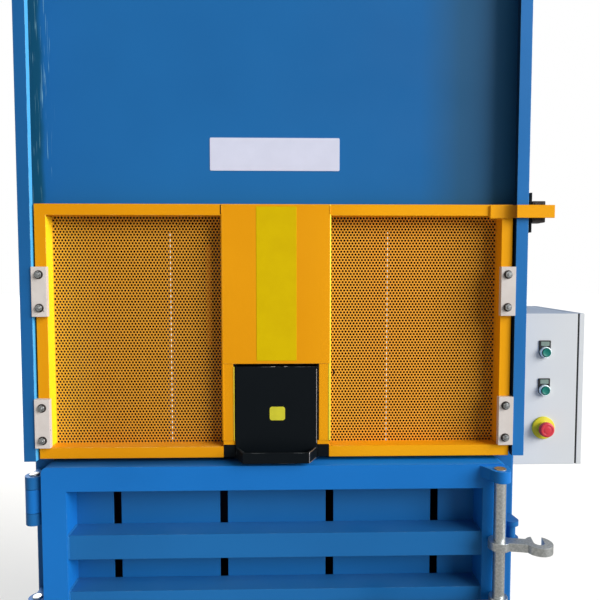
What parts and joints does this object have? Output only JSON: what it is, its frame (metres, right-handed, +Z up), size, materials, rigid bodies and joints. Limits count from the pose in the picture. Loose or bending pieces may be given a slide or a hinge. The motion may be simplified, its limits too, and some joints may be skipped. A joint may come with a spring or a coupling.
{
  "type": "vertical baler",
  "caption": "Upright baling press with a sliding perforated feed gate, a hinged lower door and a control box on its right side.",
  "frame": {"origin": "on the floor, at the centre of the four anchor holes and under the centre of the bale chamber", "axes": "+Z up, the feed gate faces -Y, +X is the operator's right, where the control box is"},
  "size_m": [1.516, 0.9195, 3.193],
  "materials": {
    "blue_paint": "semi-gloss enamel",
    "orange_paint": "semi-gloss enamel",
    "black_paint": "satin enamel",
    "grey_paint": "fine texture powder coat",
    "motor_paint": "satin enamel",
    "white_plastic": "machined",
    "black_plastic": "moulded",
    "green_plastic": "moulded",
    "red_plastic": "moulded",
    "yellow_plastic": "moulded",
    "chrome": "polished",
    "steel": "zinc plated",
    "rubber": "moulded"
  },
  "bodies": {
    "frame": {"base_runners": "blue_paint", "base_cross_beams": "blue_paint", "foot_plates": "blue_paint", "floor_plates": "blue_paint", "right_side_wall": "blue_paint", "left_side_wall": "blue_paint", "corner_posts": "blue_paint", "side_ribs": "blue_paint", "back_wall_panels": "blue_paint", "back_wall_top": "blue_paint", "back_ribs": "blue_paint", "header_plate": "blue_paint", "jamb_plates": "blue_paint", "right_guide_rail": "blue_paint", "left_guide_rail": "blue_paint", "gate_buffers": "rubber", "top_side_rails": "blue_paint", "top_end_beams": "blue_paint", "crosshead_beams": "blue_paint", "top_deck": "blue_paint", "cylinder_seat": "blue_paint", "press_cylinder": "blue_paint", "press_rod": "chrome", "platen": "blue_paint", "oil_tank": "blue_paint", "pump_motor": "motor_paint", "valve_block": "steel", "hydraulic_pipes": "steel", "control_box": "grey_paint", "mounting_plate": "steel", "button_bezels": "chrome", "legend_holders": "black_plastic", "stop_ring": "yellow_plastic", "gate_switch": "black_plastic", "switch_bracket": "steel", "hinge_brackets": "blue_paint", "lock_keepers": "blue_paint"},
    "gate": {"gate_frame": "orange_paint", "gate_left_mesh": "orange_paint", "gate_right_mesh": "orange_paint", "gate_post_cover": "orange_paint", "latch_tray": "black_paint", "gate_trip_bar": "orange_paint", "guide_shoes": "white_plastic"},
    "latch": {"latch_flap": "black_paint"},
    "lower_door": {"lower_door_frame": "blue_paint", "lower_door_ribs": "blue_paint", "lower_door_skin": "blue_paint", "lock_shaft": "steel"},
    "box_door": {"control_box_door": "grey_paint"},
    "start_push": {"start_button": "green_plastic"},
    "reset_push": {"reset_button": "green_plastic"},
    "stop_push": {"stop_button": "red_plastic"}
  },
  "joints": [
    {"name": "gate_lift", "type": "slide", "parent": "frame", "child": "gate", "axis": [0, 0, 1], "range_m": [0, 0.59]},
    {"name": "latch_swing", "type": "hinge", "parent": "gate", "child": "latch", "pos_m": [0, -0.396, 1.271], "axis": [-1, 0, 0], "range_deg": [0, 20]},
    {"name": "lower_door_swing", "type": "hinge", "parent": "frame", "child": "lower_door", "pos_m": [-0.594, -0.4, 0.64], "axis": [0, 0, -1], "range_deg": [0, 120]},
    {"name": "box_door_swing", "type": "hinge", "parent": "frame", "child": "box_door", "pos_m": [0.805, 0.006, 1.194], "axis": [0, 0, 1], "range_deg": [0, 110]},
    {"name": "start_press", "type": "slide", "parent": "frame", "child": "start_push", "axis": [0, 1, 0], "range_m": [0, 0.003], "stiffness_N_per_m": 300},
    {"name": "reset_press", "type": "slide", "parent": "frame", "child": "reset_push", "axis": [0, 1, 0], "range_m": [0, 0.003], "stiffness_N_per_m": 300},
    {"name": "stop_press", "type": "slide", "parent": "frame", "child": "stop_push", "axis": [0, 1, 0], "range_m": [0, 0.005], "stiffness_N_per_m": 800}
  ]
}
